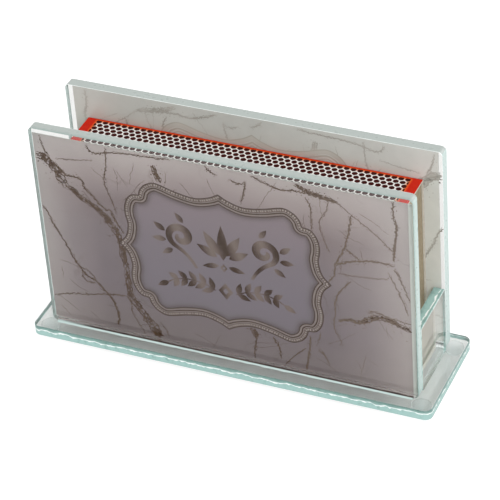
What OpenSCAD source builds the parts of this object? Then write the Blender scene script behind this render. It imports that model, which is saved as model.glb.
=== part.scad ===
// Glass matchbox holder: two printed glass panels on a glass base, with low glass stops at the ends,
// holding a large box of long matches that stands on its striking side and lifts out.
// +X runs along the panels, +Y to the back, +Z up. The origin is under the middle, on the table.

/* [Matchbox] */
// Length of the matchbox
box_l = 110; // [104:1:125]
// Height of the matchbox as it stands in the holder
box_h = 63.3; // [52:0.1:70]
// Thickness of the matchbox, front to back
box_t = 20.4; // [17:0.1:26]
// Thickness of the card
card_t = 0.5; // [0.3:0.05:0.8]
// Thickness of a striking strip
striker_t = 0.1; // [0.05:0.05:0.3]
// Bare card left at each end of a striking strip
striker_end_margin = 3.4; // [1:0.1:6]
// Bare card left along each long side of a striking strip
striker_side_margin = 1.2; // [0.5:0.1:3]

/* [Tray] */
// How far each end of the tray lies inside the sleeve
tray_recess = 0.4; // [0:0.1:1]
// Play between the tray and the sleeve
tray_play = 0.5; // [0.3:0.05:1]

/* [Matches] */
// Length of a match with its head
match_l = 92; // [85:1:97]
// Side of the square stick
match_side = 2.4; // [1.8:0.1:2.6]
// Space between a head and the stick beside it
match_gap = 0.15; // [0.05:0.05:0.4]
// How much wider the head is than the corners of the stick
head_extra = 0.08; // [0.04:0.02:0.12]
// Length of the head
head_l = 5; // [3.5:0.5:5.5]
// Layers of matches in the tray
match_rows = 10; // [2:1:14]

/* [Glass plates] */
// Thickness of the front and back panels
panel_t = 3.5; // [3:0.5:6]
// Height of the panels
panel_h = 73.6; // [60:0.1:90]
// Radius of a panel's corners
panel_corner_r = 1.6; // [0.8:0.1:4]
// Thickness of the base plate
base_t = 3.5; // [3:0.5:8]
// Radius of the base plate's corners
base_corner_r = 2.4; // [1:0.1:5]
// Thickness of the end stops
stop_t = 3.5; // [3:0.5:6]
// Height of the end stops
stop_h = 24; // [12:1:40]
// Radius of a stop's corners
stop_corner_r = 0.8; // [0.5:0.1:2]
// Width of the ground arris on every glass edge
arris = 0.35; // [0.2:0.05:0.5]

/* [Fit] */
// Play between the matchbox and the film on the front panel
box_front_play = 0.95; // [0.15:0.05:2]
// Play between the matchbox and the film on the back panel
box_back_play = 0.15; // [0.15:0.05:2]
// Play between the matchbox and the left end stop
box_left_play = 4; // [1:0.1:8]
// Play between the matchbox and the right end stop
box_right_play = 2.6; // [1:0.1:8]
// Base plate past the panels at the ends
base_end_ledge = 5.3; // [2:0.1:12]
// Base plate past the panels at the front and the back
base_side_ledge = 4.8; // [2:0.1:12]
// Thickness of the clear adhesive
glue_t = 0.15; // [0.05:0.05:0.3]

/* [Printed film] */
// Thickness of the printed film
film_t = 0.15; // [0.05:0.05:0.3]
// Clear glass at the left edge of the front film, seen from the front
front_film_left = 0.3; // [0.1:0.1:5]
// Clear glass at the right edge of the front film
front_film_right = 1.05; // [0.1:0.05:5]
// Clear glass below the front film
front_film_bottom = 0.1; // [0.1:0.1:5]
// Clear glass above the front film
front_film_top = 3; // [0.1:0.1:8]
// Clear glass at the left edge of the back film, seen from the front
back_film_left = 2.8; // [0.1:0.1:5]
// Clear glass at the right edge of the back film
back_film_right = 1.3; // [0.1:0.1:5]
// Clear glass below the back film
back_film_bottom = 2.9; // [0.1:0.1:5]
// Clear glass above the back film
back_film_top = 0.2; // [0.1:0.1:8]

/* [Feet] */
// Diameter of a foot where it is stuck on
foot_d = 6.4; // [5:0.2:10]
// Diameter of the flat that a foot stands on
foot_flat_d = 3.4; // [2:0.2:4]
// Height of a foot
foot_h = 1.6; // [1:0.1:2.2]
// Glass left between a foot and the edges of the base plate
foot_inset = 1.2; // [0.6:0.1:4]

/* [Hidden] */
$fn = 64;

// Glass
glass = [0.72, 0.86, 0.83, 0.45];
panel_w = box_l + box_left_play + box_right_play + 2 * stop_t;
slot_gap = box_t + box_front_play + box_back_play + 2 * film_t;
base_w = panel_w + 2 * base_end_ledge;
base_d = slot_gap + 2 * panel_t + 2 * base_side_ledge;
base_top = foot_h + base_t;
panel_z = base_top + glue_t;
panel_y = slot_gap / 2 + panel_t / 2;
film_gap = slot_gap - 2 * film_t;
stop_w = film_gap - 2 * glue_t;
stop_x = panel_w / 2 - stop_t / 2;

// Matchbox, standing on its lower striking strip, nearer to the back panel and to the right stop
box_x = (box_left_play - box_right_play) / 2;
box_y = (box_front_play - box_back_play) / 2;
sleeve_h = box_h - 2 * striker_t;
sleeve_z = base_top + striker_t;
floor_t = 2 * card_t;
tray_l = box_l - 2 * tray_recess;
tray_t = box_t - 2 * card_t - tray_play;
tray_h = sleeve_h - card_t - floor_t - tray_play;
tray_z = sleeve_z + floor_t;
tray_in_l = tray_l - 2 * card_t;
tray_in_t = tray_t - card_t;
tray_in_y = box_y - card_t / 2;
tray_in_z = tray_z + card_t;

// Matches, laid with their heads at alternate ends
stick_l = match_l - head_l;
head_d = match_side * sqrt(2) + head_extra;
match_pitch = (head_d + match_side) / 2 + match_gap;
wall_play = 0.1;
first_match = head_d / 2 + wall_play;
match_columns = floor((tray_in_t - 2 * first_match) / match_pitch) + 1;
match_layers = min(match_rows, floor((tray_h - 2 * card_t - 2 * first_match) / match_pitch) + 1);
match_end_play = 0.6;
match_shift = (tray_in_l - match_l) / 2 - match_end_play;

// A bar along X whose section is a rectangle with its corners cut off by the arris
module chamfered_bar(length, across, thick, cut) {
    a = across / 2;
    t = thick / 2;
    rotate([90, 0, 90])
        linear_extrude(height = length, center = true)
            polygon([[a, t - cut], [a - cut, t], [cut - a, t], [-a, t - cut],
                     [-a, cut - t], [cut - a, -t], [a - cut, -t], [a, cut - t]]);
}

// A plate in the XY plane with round corners and a ground arris on every edge
module ground_plate(across, deep, thick, corner_r) {
    t = thick / 2;
    chamfered_bar(across - 2 * corner_r, deep, thick, arris);
    rotate([0, 0, 90]) chamfered_bar(deep - 2 * corner_r, across, thick, arris);
    for (x = [-1, 1], y = [-1, 1])
        translate([x * (across / 2 - corner_r), y * (deep / 2 - corner_r), 0])
            rotate_extrude()
                polygon([[0, -t], [corner_r - arris, -t], [corner_r, arris - t],
                         [corner_r, t - arris], [corner_r - arris, t], [0, t]]);
}

module base_plate() {
    color(glass)
        translate([0, 0, foot_h + base_t / 2])
            ground_plate(base_w, base_d, base_t, base_corner_r);
}

// side is -1 for the front and 1 for the back
module panel(side) {
    color(glass)
        translate([0, side * panel_y, panel_z + panel_h / 2])
            rotate([90, 0, 0])
                ground_plate(panel_w, panel_h, panel_t, panel_corner_r);
}

// side is -1 for the left and 1 for the right
module end_stop(side) {
    color(glass)
        translate([side * stop_x, 0, panel_z + stop_h / 2])
            rotate([90, 0, 90])
                ground_plate(stop_w, stop_h, stop_t, stop_corner_r);
}

// The seam of clear adhesive under a panel
module panel_glue(side) {
    color([0.85, 0.93, 0.92, 0.5])
        translate([-(panel_w / 2 - panel_corner_r), side * panel_y - (panel_t / 2 - arris), base_top])
            cube([panel_w - 2 * panel_corner_r, panel_t - 2 * arris, glue_t]);
}

// The seams of clear adhesive under a stop and between its two sides and the films
module stop_glue(side) {
    seam_t = stop_t - 2 * arris;
    seam_h = stop_h - 2 * stop_corner_r;
    color([0.85, 0.93, 0.92, 0.5])
        translate([side * stop_x - seam_t / 2, 0, 0]) {
            translate([0, -(stop_w / 2 - stop_corner_r), base_top])
                cube([seam_t, stop_w - 2 * stop_corner_r, glue_t]);
            for (y = [-film_gap / 2, film_gap / 2 - glue_t])
                translate([0, y, panel_z + stop_corner_r])
                    cube([seam_t, glue_t, seam_h]);
        }
}

// The printed film on a panel's inner face, with clear glass left round it
module film(side, left, right, bottom, top) {
    middle = side * (slot_gap / 2 - film_t / 2);
    color([0.66, 0.61, 0.62])
        translate([left - panel_w / 2, middle - film_t / 2, panel_z + bottom])
            cube([panel_w - left - right, film_t, panel_h - bottom - top]);
}

// A clear domed foot, stuck under a corner of the base plate
module foot(x, y) {
    top_r = foot_d / 2;
    flat_r = foot_flat_d / 2;
    centre_up = (top_r * top_r - flat_r * flat_r - foot_h * foot_h) / (2 * foot_h);
    color([0.9, 0.92, 0.92, 0.6])
        translate([x * (base_w / 2 - foot_inset - top_r), y * (base_d / 2 - foot_inset - top_r), 0])
            intersection() {
                cylinder(h = foot_h, r = top_r);
                translate([0, 0, foot_h + centre_up])
                    sphere(r = sqrt(top_r * top_r + centre_up * centre_up));
            }
}

// The open-ended card sleeve. Its lower side is double, where the glued flap lies.
module box_sleeve() {
    color([0.78, 0.14, 0.06])
        translate([box_x, box_y, sleeve_z])
            difference() {
                translate([-box_l / 2, -box_t / 2, 0])
                    cube([box_l, box_t, sleeve_h]);
                translate([-box_l / 2 - 1, card_t - box_t / 2, floor_t])
                    cube([box_l + 2, box_t - 2 * card_t, sleeve_h - card_t - floor_t]);
            }
}

module striker(z) {
    color([0.36, 0.14, 0.1])
        translate([box_x + striker_end_margin - box_l / 2, box_y + striker_side_margin - box_t / 2, z])
            cube([box_l - 2 * striker_end_margin, box_t - 2 * striker_side_margin, striker_t]);
}

// The card tray, folded from one sheet and open towards the front. Its bottom is the broad panel at the back.
module tray_panel(from, size) {
    color([0.66, 0.6, 0.5])
        translate([box_x - tray_l / 2, box_y - tray_t / 2, tray_z] + from)
            cube(size);
}

// up is 0 for the lower long side and 1 for the upper one
module tray_side(up) {
    tray_panel([0, 0, up * (tray_h - card_t)], [tray_l, tray_t - card_t, card_t]);
}

// along is 0 for the left end and 1 for the right one
module tray_end(along) {
    tray_panel([along * (tray_l - card_t), 0, card_t], [card_t, tray_t - card_t, tray_h - 2 * card_t]);
}

// Puts its children at each match, turned so that the head points along +X
module each_match() {
    first_y = tray_in_y - (match_columns - 1) * match_pitch / 2;
    for (column = [0 : match_columns - 1], layer = [0 : match_layers - 1]) {
        way = (column + layer) % 2 == 0 ? 1 : -1;
        translate([box_x + way * match_shift, first_y + column * match_pitch,
                   tray_in_z + first_match + layer * match_pitch])
            rotate([0, 0, way > 0 ? 0 : 180])
                children();
    }
}

module match_sticks() {
    color([0.87, 0.74, 0.5])
        each_match()
            translate([-match_l / 2, -match_side / 2, -match_side / 2])
                cube([stick_l, match_side, match_side]);
}

// The dipped heads, each a round-ended cap on its stick
module match_heads() {
    r = head_d / 2;
    color([0.62, 0.08, 0.05])
        each_match()
            translate([match_l / 2 - head_l, 0, 0])
                rotate([0, 90, 0])
                    rotate_extrude()
                        polygon(concat([[0, 0], [r, 0]],
                                       [for (turn = [0 : 22.5 : 90])
                                            [r * cos(turn), head_l - r + r * sin(turn)]]));
}

base_plate();
panel(-1);  // front_panel
panel(1);  // back_panel
end_stop(-1);  // left_stop
end_stop(1);  // right_stop
panel_glue(-1);  // front_panel_glue
panel_glue(1);  // back_panel_glue
stop_glue(-1);  // left_stop_glue
stop_glue(1);  // right_stop_glue
film(-1, front_film_left, front_film_right, front_film_bottom, front_film_top);  // front_film
film(1, back_film_left, back_film_right, back_film_bottom, back_film_top);  // back_film
foot(-1, -1);  // foot_front_left
foot(1, -1);  // foot_front_right
foot(-1, 1);  // foot_back_left
foot(1, 1);  // foot_back_right
box_sleeve();
striker(base_top + box_h - striker_t);  // striker_top
striker(base_top);  // striker_bottom
tray_panel([0, tray_t - card_t, 0], [tray_l, card_t, tray_h]);  // tray_bottom
tray_side(0);  // tray_lower_side
tray_side(1);  // tray_upper_side
tray_end(0);  // tray_left_end
tray_end(1);  // tray_right_end
match_sticks();
match_heads();
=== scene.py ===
import math
import random

import bpy
import numpy as np
from mathutils import Matrix, Vector, noise


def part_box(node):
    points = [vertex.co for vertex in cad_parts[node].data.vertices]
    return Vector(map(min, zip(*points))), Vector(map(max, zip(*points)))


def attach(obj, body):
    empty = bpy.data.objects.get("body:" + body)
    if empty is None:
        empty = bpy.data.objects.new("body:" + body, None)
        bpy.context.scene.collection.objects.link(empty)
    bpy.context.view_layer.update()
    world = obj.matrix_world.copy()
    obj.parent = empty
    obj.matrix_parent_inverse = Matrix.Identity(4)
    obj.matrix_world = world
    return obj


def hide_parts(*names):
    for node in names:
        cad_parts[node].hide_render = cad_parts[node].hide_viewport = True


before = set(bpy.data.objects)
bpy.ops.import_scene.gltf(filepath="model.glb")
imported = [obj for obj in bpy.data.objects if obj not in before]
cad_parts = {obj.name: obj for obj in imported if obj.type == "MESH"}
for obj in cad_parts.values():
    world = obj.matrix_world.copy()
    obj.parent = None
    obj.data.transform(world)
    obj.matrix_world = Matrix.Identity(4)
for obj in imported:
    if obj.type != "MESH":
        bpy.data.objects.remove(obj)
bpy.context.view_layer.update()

MM = 0.001

# Camera, fitted to the photograph's frame of 500 by 500 pixels
VIEW_AZIMUTH = math.radians(25.66)
VIEW_ELEVATION = math.radians(36.41)
VIEW_ROLL = math.radians(-4.45)
VIEW_DISTANCE = 0.7708
VIEW_TARGET = Vector((0.003103, -0.001411, 0.03855))
SENSOR = 36.0
LENS = 181.5

# The print is laid out on a millimetre grid, x from its middle and z from the base plate's underside.
# GRID stretches it to the film.
GRID = 1.0082
GRID_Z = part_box("base_plate")[0].z
HALF_GAP = -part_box("front_film")[0].y
FILM_T = HALF_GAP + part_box("front_film")[1].y

# Depths of the printed layers, in metres in front of a film's outer face and so inside the glass
FACE_LIFT = 0.10 * MM
VEIN_LIFT = 0.12 * MM
FIELD_LIFT = 0.15 * MM
FRAME_LIFT = 0.17 * MM
ORNAMENT_LIFT = 0.19 * MM
GHOST_LIFT = -(FILM_T + 0.03 * MM)
LAYER = 0.01 * MM

# What of the front film carries print, along x and up. A bare border follows at the right end.
PRINT_SPAN = (-61.5 * MM, 59.5 * MM)
PRINT_HEIGHT = (5.35 * MM, 75.85 * MM)


def srgb(red, green, blue, alpha=1.0):
    """A colour written as the eye sees it, from 0 to 255, as the linear one that shaders take."""
    parts = []
    for value in (red, green, blue):
        value = value / 255
        parts.append(value / 12.92 if value <= 0.04045 else ((value + 0.055) / 1.055) ** 2.4)
    return (*parts, alpha)


# What a panel adds to a colour behind it by its gloss, and how much of each of its parts comes through
PANEL_GLOSS = 0.033
PANEL_TINT = (0.835, 0.855, 0.836)


def behind_glass(red, green, blue):
    """The print colour that shows as this one through a glass panel."""
    seen = srgb(red, green, blue)[:3]
    return (*(max(0.004, (part - PANEL_GLOSS) / tint) for part, tint in zip(seen, PANEL_TINT)), 1.0)


# Materials


class Shader:
    """A material being built. Each call adds one node and returns an output of it."""

    def __init__(self, name):
        self.material = bpy.data.materials.new(name)
        self.material.use_nodes = True
        self.tree = self.material.node_tree
        self.tree.nodes.clear()
        self.output = self.tree.nodes.new("ShaderNodeOutputMaterial")

    def add(self, kind, sockets=None, out=0, **settings):
        node = self.tree.nodes.new("ShaderNode" + kind)
        for key, value in settings.items():
            setattr(node, key, value)
        for key, value in (sockets or {}).items():
            if isinstance(value, bpy.types.NodeSocket):
                self.tree.links.new(value, node.inputs[key])
            else:
                node.inputs[key].default_value = value
        return node.outputs[out]

    def mix(self, factor, first, second):
        return self.add("Mix", {0: factor, 6: first, 7: second}, out=2, data_type="RGBA")

    def math(self, operation, first, second=0.0):
        return self.add("Math", {0: first, 1: second}, operation=operation)

    def spread(self, value, low, high, to_low=0.0, to_high=1.0):
        return self.add("MapRange", {0: value, 1: low, 2: high, 3: to_low, 4: to_high})

    def ramp(self, factor, stops):
        """Colours between the stops, each a position from 0 to 1 and a colour."""
        node = self.add("ValToRGB", {0: factor}).node
        elements = node.color_ramp.elements
        while len(elements) < len(stops):
            elements.new(0.5)
        for element, (position, colour) in zip(elements, stops):
            element.position = position
            element.color = colour
        return node.outputs[0]

    def place(self):
        return self.add("TexCoord", out="Object")

    def noise(self, scale, detail=3.0, roughness=0.55, vector=None, out="Fac"):
        vector = vector or self.place()
        return self.add("TexNoise", {"Vector": vector, "Scale": scale, "Detail": detail,
                                     "Roughness": roughness}, out=out)

    def bump(self, height, strength, distance):
        return self.add("Bump", {"Height": height, "Strength": strength, "Distance": distance})

    def principled(self, **sockets):
        names = {key.replace("_", " "): value for key, value in sockets.items()}
        return self.add("BsdfPrincipled", names)

    def finish(self, surface, volume=None):
        self.tree.links.new(surface, self.output.inputs["Surface"])
        if volume is not None:
            self.tree.links.new(volume, self.output.inputs["Volume"])
        return self.material


def float_glass_material():
    """Polished float glass, with a sea-green tint that grows with the way through it."""
    shader = Shader("float_glass")
    ripple = shader.noise(18.0, 1.0)
    glass = shader.principled(Base_Color=(0.99, 0.997, 0.994, 1), Roughness=0.0, IOR=1.52,
                              Transmission_Weight=1.0, Normal=shader.bump(ripple, 0.05, 0.0004))
    clear = shader.add("BsdfTransparent", {"Color": (0.98, 0.99, 0.988, 1)})
    shadow = shader.add("LightPath", out="Is Shadow Ray")
    surface = shader.add("MixShader", {0: shadow, 1: glass, 2: clear})
    volume = shader.add("VolumeAbsorption", {"Color": (0.55, 0.87, 0.82, 1), "Density": 14.0})
    return shader.finish(surface, volume)


def ground_edge_material(name, dark, middle, bright, upper, uneven):
    """A cut and ground edge: frosted, darker where it meets a face, with painted highlights along its crest
    and arrises.
    upper is the colour painted on an edge that faces up, as painted light, and uneven how blotchy it all is."""
    shader = Shader(name)
    tone = shader.add("Attribute", out="Fac", attribute_name="tone")
    grain = shader.noise(650.0, 3.0)
    patches = shader.noise(520.0, 3.0)
    level = shader.math("MULTIPLY", shader.spread(patches, 0.32, 0.68, 1 - uneven, 1 + uneven), tone)
    # Painted light: where the tone is high the ramp reaches bright, a painted highlight.
    side = shader.ramp(level, ((0.0, dark), (0.3, middle), (0.5, middle), (0.8, bright)))
    top = shader.ramp(level, ((0.0, dark), (0.3, upper), (0.5, upper), (0.8, bright)))
    # Painted light: an edge that faces up is coloured upper in place of middle; on the panels that is a
    # darker grey, a painted shade.
    normal_z = shader.add("SeparateXYZ", {0: shader.add("NewGeometry", out="Normal")}, out=2)
    colour = shader.mix(shader.spread(normal_z, 0.4, 0.6), side, top)
    roughness = shader.spread(grain, 0.3, 0.7, 0.24, 0.42)
    normal = shader.bump(grain, 0.12, 0.0001)
    frosted = shader.principled(Base_Color=colour, Roughness=roughness, IOR=1.52, Normal=normal)
    clear = shader.add("BsdfTransparent", {"Color": (0.9, 0.96, 0.95, 1)})
    shadow = shader.add("LightPath", out="Is Shadow Ray")
    surface = shader.add("MixShader", {0: shadow, 1: frosted, 2: clear})
    volume = shader.add("VolumeAbsorption", {"Color": (0.55, 0.87, 0.82, 1), "Density": 14.0})
    return shader.finish(surface, volume)


# Levels of the marble ground from the lower edge of the print to its upper one, away from the ends. The steep
# rise towards the top is painted light that shines through the film from behind, above the matchbox.
GROUND_AND_PAINTED_BACKLIGHT_LEVELS = ((0.0, behind_glass(125, 116, 115)), (0.25, behind_glass(122, 113, 116)),
                 (0.56, behind_glass(126, 117, 119)), (0.74, behind_glass(131, 120, 120)),
                 (0.86, behind_glass(155, 144, 142)), (1.0, behind_glass(174, 165, 162)))
LABEL_LEVELS = ((0.1, behind_glass(122, 115, 120)), (0.378, behind_glass(124, 117, 123)),
                (0.562, behind_glass(127, 119, 124)), (0.733, behind_glass(133, 123, 127)))
# How far the ground turns pale from the print's left end to its right one
END_PALENESS = ((0.0, 0.85), (0.08, 0.28), (0.16, 0.0), (0.78, 0.0), (0.89, 0.28), (1.0, 0.92))


def print_colour(shader, side):
    """The marble ground of the print: mauve clouds, paler towards the two ends, and paler towards the top
    with painted light that shines through the film from behind.
    """
    x, y, z = shader.add("SeparateXYZ", {0: shader.place()}).node.outputs
    clouds = shader.noise(21.0, 3.0, 0.6)
    height = shader.spread(z, *PRINT_HEIGHT)
    height = shader.math("ADD", height, shader.spread(clouds, 0.3, 0.7, -0.035, 0.035))
    # Painted light: the ramp's rise at the top stands in for light shining through the film from behind.
    middle = shader.ramp(height, GROUND_AND_PAINTED_BACKLIGHT_LEVELS)
    along = shader.spread(shader.math("MULTIPLY", x, -side), *PRINT_SPAN)
    along = shader.math("ADD", along, shader.spread(clouds, 0.3, 0.7, -0.012, 0.012))
    pale = shader.ramp(along, [(position, (level, level, level, 1)) for position, level in END_PALENESS])
    end = shader.mix(shader.spread(z, *PRINT_HEIGHT), behind_glass(166, 156, 153),
                     behind_glass(180, 172, 169))
    colour = shader.mix(pale, middle, end)
    bent = shader.add("Mix", {0: 0.04, 4: shader.place(), 5: shader.noise(30.0, 4.0, out="Color")},
                      out=1, data_type="VECTOR")
    cells = shader.add("TexVoronoi", {"Vector": bent, "Scale": 46.0}, feature="DISTANCE_TO_EDGE")
    hair = shader.spread(cells, 0.0, 0.018, 0.26, 0.0)
    patches = shader.spread(shader.noise(60.0, 2.0), 0.47, 0.62)
    colour = shader.mix(shader.math("MULTIPLY", hair, patches), colour, behind_glass(104, 93, 88))
    smoky = shader.spread(shader.noise(75.0, 5.0, 0.65), 0.3, 0.7, 0.955, 1.045)
    return shader.add("HueSaturation", {"Color": colour, "Value": smoky})


def print_material(side):
    """The printed side of a film, with the white border that the front one has along its right end."""
    shader = Shader("marble_print_with_painted_backlight_" + ("front" if side < 0 else "back"))
    colour = print_colour(shader, side)
    if side < 0:
        x, y, z = shader.add("SeparateXYZ", {0: shader.place()}).node.outputs
        bare = shader.spread(x, PRINT_SPAN[1] - 0.05 * MM, PRINT_SPAN[1] + 0.05 * MM)
        colour = shader.mix(bare, colour, srgb(219, 219, 214))
    return shader.finish(shader.principled(Base_Color=colour, Roughness=0.42, Specular_IOR_Level=0.0))


def field_material(side):
    """The label's ground: plain, with the soft shadow that its frame casts on it."""
    shader = Shader("label_ground_" + ("front" if side < 0 else "back"))
    x, y, z = shader.add("SeparateXYZ", {0: shader.place()}).node.outputs
    shade = shader.add("Attribute", out="Fac", attribute_name="shade")
    colour = shader.ramp(shader.spread(z, *PRINT_HEIGHT), LABEL_LEVELS)
    grain = shader.spread(shader.noise(900.0, 2.0), 0.3, 0.7, 0.985, 1.015)
    colour = shader.add("HueSaturation", {"Color": colour, "Value": grain})
    colour = shader.mix(shade, colour, behind_glass(86, 76, 73))
    return shader.finish(shader.principled(Base_Color=colour, Roughness=0.42, Specular_IOR_Level=0.0))


def ink_material(name, dark, light, scale):
    """Grey-brown ink, uneven as a print of stone is; the shader gives it no metallic finish."""
    shader = Shader(name)
    blotches = shader.spread(shader.noise(scale, 4.0, 0.65), 0.35, 0.65)
    colour = shader.mix(blotches, dark, light)
    return shader.finish(shader.principled(Base_Color=colour, Roughness=0.4, Specular_IOR_Level=0.0))


def speckled_material(side):
    """A broad vein: grains of ink with the marble showing between them."""
    shader = Shader("broad_vein_" + ("front" if side < 0 else "back"))
    ground = print_colour(shader, side)
    grains = shader.noise(1300.0, 3.0, 0.7)
    patches = shader.noise(480.0, 3.0, 0.6)
    ink = shader.mix(shader.spread(grains, 0.36, 0.64), behind_glass(70, 56, 46), behind_glass(100, 84, 72))
    level = shader.math("ADD", grains, shader.spread(patches, 0.3, 0.7, -0.1, 0.3))
    mask = shader.spread(level, 0.5, 0.55, 0.0, 1.0)
    colour = shader.mix(mask, ground, ink)
    return shader.finish(shader.principled(Base_Color=colour, Roughness=0.42, Specular_IOR_Level=0.0))


def vein_material(side):
    """The solid veins' ink, paler towards the print's right end."""
    shader = Shader("vein_ink_" + ("front" if side < 0 else "back"))
    x, y, z = shader.add("SeparateXYZ", {0: shader.place()}).node.outputs
    blotches = shader.spread(shader.noise(900.0, 4.0, 0.65), 0.35, 0.65)
    colour = shader.mix(blotches, behind_glass(76, 63, 53), behind_glass(104, 89, 78))
    pale = shader.spread(shader.math("MULTIPLY", x, -side), 0.01, 0.05, 0.0, 0.6)
    colour = shader.mix(pale, colour, behind_glass(132, 119, 110))
    return shader.finish(shader.principled(Base_Color=colour, Roughness=0.4, Specular_IOR_Level=0.0))


def foil_material():
    """The ornament's ink, which runs from dark to light and back like brushed foil."""
    shader = Shader("foil_ink")
    x, y, z = shader.add("SeparateXYZ", {0: shader.place()}).node.outputs
    slant = shader.math("ADD", x, shader.math("MULTIPLY", z, 0.35))
    wave = shader.math("SINE", shader.math("MULTIPLY", slant, 2 * math.pi / 0.0092))
    grain = shader.spread(shader.noise(700.0, 3.0), 0.3, 0.7, -0.2, 0.2)
    factor = shader.spread(shader.math("ADD", wave, grain), -1.0, 1.0)
    colour = shader.mix(factor, behind_glass(72, 60, 54), behind_glass(122, 109, 103))
    return shader.finish(shader.principled(Base_Color=colour, Roughness=0.38, Specular_IOR_Level=0.0))


def backing_material():
    """The film's plain side, a pale grey in which the marble's clouds can be made out, painted paler towards
    the right end as painted light between the panels.
    """
    shader = Shader("film_backing_painted_light")
    x, y, z = shader.add("SeparateXYZ", {0: shader.place()}).node.outputs
    clouds = shader.spread(shader.noise(26.0, 4.0, 0.6), 0.3, 0.7)
    left = shader.mix(clouds, srgb(182, 183, 177), srgb(193, 191, 184))
    # Painted light: the right end, between the panels, is painted paler than the left.
    right = shader.mix(clouds, srgb(203, 205, 199), srgb(211, 210, 204))
    colour = shader.mix(shader.spread(x, 0.0, 0.06), left, right)
    low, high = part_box("back_film")
    colour = shader.mix(shader.spread(z, high.z, high.z - 0.02, 0.35, 0.0), colour, srgb(168, 171, 167))
    mottle = shader.spread(shader.noise(160.0, 4.0, 0.6), 0.35, 0.65, 0.975, 1.025)
    colour = shader.add("HueSaturation", {"Color": colour, "Value": mottle})
    return shader.finish(shader.principled(Base_Color=colour, Roughness=0.36))


def ghost_material(name, dark, light):
    """A part of the print as it shows faintly through the film's plain side."""
    shader = Shader(name)
    fade = shader.spread(shader.noise(120.0, 3.0), 0.35, 0.65)
    colour = shader.mix(fade, dark, light)
    return shader.finish(shader.principled(Base_Color=colour, Roughness=0.36))


def card_material(name, first, second, scale, roughness, bump):
    """Printed or raw card with its fibres."""
    shader = Shader(name)
    fibres = shader.noise(scale, 5.0, 0.7)
    colour = shader.mix(shader.spread(fibres, 0.35, 0.65), first, second)
    normal = shader.bump(fibres, bump, 0.0001)
    return shader.finish(shader.principled(Base_Color=colour, Roughness=roughness, Normal=normal))


def depth_in_striker(shader):
    """How far a place on the sleeve lies inside the striking strip's rim, in metres, less than 0 outside."""
    x, y, z = shader.add("SeparateXYZ", {0: shader.place()}).node.outputs
    low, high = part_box("striker_top")
    past_end = shader.math("ABSOLUTE", shader.math("SUBTRACT", x, (low.x + high.x) / 2))
    past_side = shader.math("ABSOLUTE", shader.math("SUBTRACT", y, (low.y + high.y) / 2))
    along = shader.math("SUBTRACT", (high.x - low.x) / 2, past_end)
    across = shader.math("SUBTRACT", (high.y - low.y) / 2, past_side)
    return shader.math("MINIMUM", along, across)


def red_card_material():
    """The sleeve's printed outside: red, running into orange round the striking strips."""
    shader = Shader("red_card")
    fibres = shader.noise(700.0, 5.0, 0.7)
    red = shader.mix(shader.spread(fibres, 0.35, 0.65), srgb(194, 30, 9), srgb(203, 37, 13))
    blur = shader.spread(depth_in_striker(shader), -0.7 * MM, 0.0)
    colour = shader.mix(blur, red, srgb(232, 96, 38))
    normal = shader.bump(fibres, 0.1, 0.0001)
    return shader.finish(shader.principled(Base_Color=colour, Roughness=0.6, Specular_IOR_Level=0.12,
                                           Normal=normal))


def striker_ground_material():
    """The striking strip between its dots: white, turning orange where it meets the red border."""
    shader = Shader("striker_ground")
    fibres = shader.spread(shader.noise(900.0, 3.0), 0.3, 0.7)
    white = shader.mix(fibres, srgb(228, 224, 220), srgb(240, 237, 234))
    depth = shader.spread(depth_in_striker(shader), 0.0, 1.2 * MM)
    tint = shader.ramp(depth, ((0.0, srgb(232, 96, 38)), (0.4, srgb(244, 176, 132)), (1.0, (1, 1, 1, 1))))
    colour = shader.add("Mix", {0: 1.0, 6: white, 7: tint}, out=2, data_type="RGBA", blend_type="MULTIPLY")
    return shader.finish(shader.principled(Base_Color=colour, Roughness=0.5))


def striker_dot_material():
    """Dark brown striking compound, gritty."""
    shader = Shader("striking_compound")
    grit = shader.noise(3200.0, 3.0, 0.7)
    colour = shader.mix(shader.spread(grit, 0.35, 0.65), srgb(40, 5, 3), srgb(74, 15, 9))
    normal = shader.bump(grit, 0.6, 0.0001)
    return shader.finish(shader.principled(Base_Color=colour, Roughness=0.8, Specular_IOR_Level=0.15,
                                           Normal=normal))


def wood_material():
    shader = Shader("match_wood")
    stretched = shader.add("Mapping", {"Vector": shader.place(), "Scale": (0.04, 1.0, 1.0)})
    grain = shader.noise(2600.0, 4.0, 0.6, vector=stretched)
    colour = shader.mix(shader.spread(grain, 0.3, 0.7), srgb(196, 160, 104), srgb(226, 197, 146))
    normal = shader.bump(grain, 0.3, 0.0001)
    return shader.finish(shader.principled(Base_Color=colour, Roughness=0.7, Normal=normal))


def head_material():
    shader = Shader("match_head")
    grit = shader.noise(2400.0, 4.0, 0.7)
    colour = shader.mix(shader.spread(grit, 0.3, 0.7), srgb(112, 18, 14), srgb(158, 36, 28))
    normal = shader.bump(grit, 0.5, 0.0001)
    return shader.finish(shader.principled(Base_Color=colour, Roughness=0.8, Normal=normal))


def bumper_material():
    """A clear soft foot, of which little shows but its shine."""
    shader = Shader("clear_bumper")
    haze = shader.spread(shader.noise(700.0, 2.0), 0.3, 0.7, 0.08, 0.2)
    shine = shader.principled(Base_Color=(0.93, 0.95, 0.94, 1), Roughness=haze, Specular_IOR_Level=0.6)
    clear = shader.add("BsdfTransparent", {"Color": (0.97, 0.98, 0.98, 1)})
    rim = shader.spread(shader.add("LayerWeight", {"Blend": 0.35}, out="Facing"), 0.2, 0.9, 0.03, 0.4)
    return shader.finish(shader.add("MixShader", {0: rim, 1: clear, 2: shine}))


def seam_material():
    """Cured adhesive between two plates: nearly clear."""
    shader = Shader("cured_adhesive")
    milky = shader.principled(Base_Color=srgb(196, 214, 210), Roughness=0.2)
    clear = shader.add("BsdfTransparent", {"Color": (0.95, 0.99, 0.98, 1)})
    amount = shader.spread(shader.noise(350.0, 3.0), 0.35, 0.65, 0.05, 0.3)
    return shader.finish(shader.add("MixShader", {0: amount, 1: clear, 2: milky}))


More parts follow.
